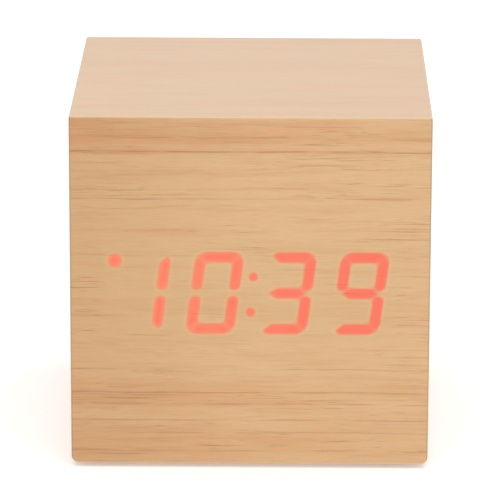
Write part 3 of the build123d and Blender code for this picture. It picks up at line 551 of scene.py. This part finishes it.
def resin_material(name, deep, clear, glow):
    """Cast red resin with a few bubbles and streaks."""
    material, tree, shader = new_material(name, roughness=0.22)
    place = place_in_mm(tree)
    clouds = noise(tree, place, 0.9, 3.0, 0.6, 0.6)
    put(tree, mix(tree, clouds, deep, clear), shader.inputs["Base Color"])
    put(tree, mix(tree, clouds, (0, 0, 0, 1), glow), shader.inputs["Emission Color"])
    shader.inputs["Emission Strength"].default_value = 1.0
    shader.inputs["Coat Weight"].default_value = 0.4
    return material


finish_with(resin_material("lit_resin", (0.42, 0.02, 0.01, 1), (0.75, 0.10, 0.05, 1), (0.9, 0.10, 0.04, 1)),
            "lit_light_guides")
# the unlit guides are given a faint painted glow of their own
finish_with(resin_material("dark_resin", (0.16, 0.02, 0.015, 1), (0.28, 0.05, 0.03, 1),
                           (0.01, 0.002, 0.001, 1)), "dark_light_guides")


def metal_material(name, dull, bright, roughness, along=(1.0, 1.0, 1.0)):
    """Plated metal: fine drawing or turning lines and a slightly patchy plating."""
    material, tree, shader = new_material(name, roughness=roughness, metallic=1.0)
    place = place_in_mm(tree)
    lines = noise(tree, scaled(tree, place, along), 2.4, 3.0, 0.65)
    patches = noise(tree, place, 0.5, 3.0, 0.6)
    put(tree, mix(tree, patches, dull, bright), shader.inputs["Base Color"])
    put(tree, ramp(tree, lines, 0.25, 0.75, roughness * 0.75, roughness * 1.35), shader.inputs["Roughness"])
    bump(tree, shader, lines, 0.01 * MM, 0.4)
    return material


tinned = metal_material("tinned_brass", (0.56, 0.55, 0.52, 1), (0.72, 0.72, 0.70, 1), 0.32, (1.0, 0.15, 1.0))
finish_with(tinned, "display_pins", "microcontroller_legs", "power_socket_shell", "clock_crystal",
            "microphone")
finish_with(resin_material("led_lens", (0.70, 0.52, 0.20, 1), (0.92, 0.82, 0.50, 1), (0.30, 0.05, 0.02, 1)),
            "led_chips")

# ---------------------------------------------------------------------------------------------
# The front circuit board. Glass-fibre laminate under green lacquer, with copper tracks showing as
# paler ridges, held to the back of the front board by four zinc-plated screws and nylon spacers.
# ---------------------------------------------------------------------------------------------


def circuit_board_material():
    material, tree, shader = new_material("green_lacquer_board", roughness=0.3)
    place = place_in_mm(tree)
    tracks = tree.nodes.new("ShaderNodeTexBrick")
    turned = scaled(tree, place, (1.0, 0.0, 1.0))
    flat = tree.nodes.new("ShaderNodeVectorRotate")
    flat.inputs["Axis"].default_value = (1, 0, 0)
    flat.inputs["Angle"].default_value = radians(90)
    put(tree, turned, flat.inputs["Vector"])
    put(tree, flat.outputs[0], tracks.inputs["Vector"])
    for label, value in (("Scale", 0.8), ("Mortar Size", 0.10), ("Mortar Smooth", 0.3),
                         ("Brick Width", 3.1), ("Row Height", 0.9)):
        tracks.inputs[label].default_value = value
    copper = math(tree, "SUBTRACT", 1.0, tracks.outputs["Fac"])
    weave = noise(tree, place, 3.0, 2.0, 0.6)
    lacquer = mix(tree, weave, (0.010, 0.075, 0.028, 1), (0.018, 0.120, 0.045, 1))
    colour = mix(tree, math(tree, "MULTIPLY", copper, 0.6), (0.040, 0.200, 0.075, 1), lacquer)
    put(tree, colour, shader.inputs["Base Color"])
    bump(tree, shader, copper, 0.03 * MM, 0.5)
    shader.inputs["Coat Weight"].default_value = 0.3
    return material


circuit_board = circuit_board_material()
finish_with(circuit_board, "display_circuit_board", "rear_circuit_board")
zinc = metal_material("zinc_plate", (0.42, 0.42, 0.41, 1), (0.62, 0.62, 0.60, 1), 0.34)
finish_with(zinc, "board_screws", "rear_board_screws", "cover_screws")

# ---------------------------------------------------------------------------------------------
# What the front board carries. Black epoxy chips, a buzzer, two sleeved capacitors, a bead
# thermistor, a small microphone and rows of surface-mount parts, all soldered to the board.
# ---------------------------------------------------------------------------------------------

black_epoxy = moulded_plastic("black_epoxy", (0.012, 0.012, 0.013, 1), (0.030, 0.030, 0.032, 1), 0.55, 0.15)
finish_with(black_epoxy, "microcontroller", "buzzer", "transistors", "temperature_sensor", "switch_bodies",
            "power_socket_tongue")
finish_with(moulded_plastic("sleeve_vinyl", (0.010, 0.016, 0.045, 1), (0.020, 0.032, 0.085, 1), 0.25, 0.6,
                            0.2), "capacitors")
finish_with(moulded_plastic("ceramic_chip", (0.015, 0.015, 0.018, 1), (0.045, 0.045, 0.050, 1), 0.45, 0.12),
            "resistors")

# ---------------------------------------------------------------------------------------------
# The wires. Vinyl-covered copper: a grey ribbon between the two circuit boards and a red and a
# black lead from the battery tray, crimped into their plugs.
# ---------------------------------------------------------------------------------------------

finish_with(moulded_plastic("grey_vinyl", (0.30, 0.30, 0.31, 1), (0.40, 0.40, 0.41, 1), 0.38, 0.5, 0.2),
            "ribbon_cable")
finish_with(moulded_plastic("red_vinyl", (0.40, 0.012, 0.010, 1), (0.52, 0.024, 0.018, 1), 0.38, 0.5, 0.2),
            "battery_lead_red")
finish_with(moulded_plastic("black_vinyl", (0.010, 0.010, 0.010, 1), (0.024, 0.024, 0.025, 1), 0.38, 0.5,
                            0.2), "battery_lead_black")

# ---------------------------------------------------------------------------------------------
# The back cover, battery door and latch. Black ABS mouldings with a fine satin texture; the cover
# holds the battery tray and is screwed to the corner blocks a millimetre below the boards' edges.
# The symbols sunk under the buttons are filled with white paint.
# ---------------------------------------------------------------------------------------------

black_abs = moulded_plastic("black_abs", (0.012, 0.012, 0.013, 1), (0.026, 0.026, 0.027, 1), 0.44, 0.18, 0.7)
finish_with(black_abs, "back_cover", "battery_door", "door_latch")
finish_with(moulded_plastic("white_paint", (0.72, 0.72, 0.70, 1), (0.84, 0.84, 0.82, 1), 0.6, 0.3),
            "button_symbols")

# ---------------------------------------------------------------------------------------------
# The buttons. Three smooth caps of the same black plastic, polished by fingers in the middle, each
# standing on the white plunger of its switch.
# ---------------------------------------------------------------------------------------------


def button_material(name):
    """One cap's finish: shinier in the middle, where a fingertip rubs it."""
    low, high = (Vector(corner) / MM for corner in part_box(name))
    middle = (low + high) / 2
    material, tree, shader = new_material(name + "_cap", roughness=0.4)
    place = place_in_mm(tree)
    skin = place_group(tree, speckle, place=place, size=0.2, contrast=1.3)
    put(tree, mix(tree, skin["Mask"], (0.020, 0.020, 0.021, 1), (0.040, 0.040, 0.042, 1)),
        shader.inputs["Base Color"])
    split = tree.nodes.new("ShaderNodeVectorMath")
    split.operation = "LENGTH"
    put(tree, scaled(tree, place, (1, 0, 1), (-middle.x, 0, -middle.z)), split.inputs[0])
    rubbed = ramp(tree, split.outputs["Value"], 0.6, (high.x - low.x) / 2, 0.24, 0.48)
    put(tree, math(tree, "ADD", rubbed, math(tree, "MULTIPLY", skin["Fine"], 0.06)),
        shader.inputs["Roughness"])
    bump(tree, shader, skin["Fine"], 0.01 * MM, 0.4)
    return material


for button in ("set", "up", "down"):
    finish_with(button_material(button + "_button"), button + "_button")
    finish_with(white_plastic, button + "_plunger")

# ---------------------------------------------------------------------------------------------
# The cells and their contacts. Three AAA cells in plain printed wraps, with bare steel ends, held
# between nickel-plated spring-steel plates and coils.
# ---------------------------------------------------------------------------------------------

nickel = metal_material("nickel_plate", (0.58, 0.55, 0.49, 1), (0.76, 0.74, 0.69, 1), 0.22)
finish_with(nickel, "contact_plates", "contact_springs")


def cell_material(name, plus_side):
    """A plain wrap: dark body, a copper-coloured shoulder at the plus end, bare ends."""
    low, high = (Vector(corner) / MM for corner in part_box(name))
    length = high.x - low.x
    material, tree, shader = new_material(name + "_wrap", roughness=0.28)
    place = place_in_mm(tree)
    split = tree.nodes.new("ShaderNodeSeparateXYZ")
    put(tree, place, split.inputs[0])
    from_plus = math(tree, "MULTIPLY",
                     math(tree, "SUBTRACT", split.outputs["X"],
                          high.x if plus_side > 0 else low.x), -plus_side)
    wear = place_group(tree, speckle, place=place, size=0.8, contrast=1.2)
    body = mix(tree, wear["Mask"], (0.035, 0.040, 0.048, 1), (0.060, 0.066, 0.078, 1))
    copper = mix(tree, wear["Mask"], (0.50, 0.24, 0.10, 1), (0.62, 0.32, 0.14, 1))
    steel = (0.62, 0.61, 0.58, 1)
    colour = mix(tree, ramp(tree, from_plus, 11.9, 12.1), copper, body)
    ring = math(tree, "MULTIPLY", ramp(tree, from_plus, 11.9, 12.0),
                ramp(tree, from_plus, 12.5, 12.6, 1.0, 0.0))
    colour = mix(tree, ring, colour, (0.62, 0.62, 0.60, 1))
    bare = math(tree, "MAXIMUM", ramp(tree, from_plus, 1.35, 1.45, 1.0, 0.0),
                ramp(tree, from_plus, length - 0.45, length - 0.35))
    put(tree, mix(tree, bare, colour, steel), shader.inputs["Base Color"])
    put(tree, bare, shader.inputs["Metallic"])
    put(tree, ramp(tree, wear["Mask"], 0.2, 0.8, 0.22, 0.36), shader.inputs["Roughness"])
    return material


for number, plus_side in ((1, 1), (2, -1), (3, 1)):
    name = f"battery_cell_{number}"
    finish_with(cell_material(name, plus_side), name)

# ---------------------------------------------------------------------------------------------
# The studio. A pale floor that runs up behind into a pale wall, one large soft light overhead, a
# weaker one at the front left and white all round.
# ---------------------------------------------------------------------------------------------


def paper_material():
    material, tree, shader = new_material("backdrop_paper", roughness=0.9)
    fibres = place_group(tree, speckle, place=place_in_mm(tree), size=2.0, contrast=0.6)
    put(tree, mix(tree, fibres["Mask"], (0.90, 0.90, 0.90, 1), (0.94, 0.94, 0.94, 1)),
        shader.inputs["Base Color"])
    shader.inputs["Specular IOR Level"].default_value = 0.1
    shader.inputs["Emission Color"].default_value = (1, 1, 1, 1)
    shader.inputs["Emission Strength"].default_value = 0.24
    return material


def backdrop():
    """A sheet of paper: flat under the clock, then curving up behind it."""
    reach, rise, bend, steps = 1.6, 1.4, 0.5, 16
    profile = [(-reach, 0.0)]
    for step in range(steps + 1):
        turn = radians(90) * step / steps
        profile.append((reach - bend + bend * sin(turn), bend - bend * cos(turn)))
    profile.append((reach, rise))
    points = [(x, y, z) for y, z in profile for x in (-2.0, 2.0)]
    faces = [(2 * n, 2 * n + 1, 2 * n + 3, 2 * n + 2) for n in range(len(profile) - 1)]
    mesh = bpy.data.meshes.new("backdrop")
    mesh.from_pydata(points, [], faces)
    mesh.polygons.foreach_set("use_smooth", [True] * len(mesh.polygons))
    sheet = bpy.data.objects.new("backdrop", mesh)
    bpy.context.scene.collection.objects.link(sheet)
    mesh.materials.append(paper_material())


backdrop()


def soft_light(name, place, target, size, power):
    """A square softbox that faces a point."""
    lamp = bpy.data.lights.new(name, "AREA")
    lamp.shape = "SQUARE"
    lamp.size = size
    lamp.energy = power
    holder = bpy.data.objects.new(name, lamp)
    holder.location = place
    holder.rotation_euler = (Vector(target) - Vector(place)).to_track_quat("-Z", "Y").to_euler()
    bpy.context.scene.collection.objects.link(holder)


soft_light("overhead_softbox", (0.05, -0.25, 0.9), case_centre, 1.1, 5.8)
soft_light("front_fill", (0.15, -1.1, 0.45), case_centre, 0.9, 1.15)

world = bpy.data.worlds.new("white_room")
world.use_nodes = True
world.node_tree.nodes["Background"].inputs["Color"].default_value = (1, 1, 1, 1)
# the room lights the clock at half strength, and looks plain white past the edge of the paper
seen = world.node_tree.nodes.new("ShaderNodeLightPath").outputs["Is Camera Ray"]
room_light = ramp(world.node_tree, seen, 0.0, 1.0, 0.55, 1.0)
put(world.node_tree, room_light, world.node_tree.nodes["Background"].inputs["Strength"])
scene = bpy.context.scene
scene.world = world
scene.view_settings.view_transform = "Standard"
scene.view_settings.look = "None"

# ---------------------------------------------------------------------------------------------
# The camera. A long lens a good half metre away, looking down a little at the front of the clock.
# ---------------------------------------------------------------------------------------------

look_down = radians(15.64)
look_left = radians(0.52)
roll = radians(0.19)
stand_off = 11.02 * case_side
aim_above_middle = 0.1178 * case_side

turn = (Matrix.Rotation(look_left, 4, "Z") @ Matrix.Rotation(radians(90) - look_down, 4, "X")
        @ Matrix.Rotation(roll, 4, "Z"))
up, back = (turn.to_3x3() @ Vector(axis) for axis in ((0, 1, 0), (0, 0, 1)))
front_middle = Vector((case_centre.x, case_low.y, case_centre.z))
lens = bpy.data.cameras.new("camera")
lens.sensor_width = 36.0
lens.lens = 286.0
camera = bpy.data.objects.new("camera", lens)
camera.matrix_world = Matrix.Translation(front_middle + up * aim_above_middle + back * stand_off) @ turn
scene.collection.objects.link(camera)
scene.camera = camera
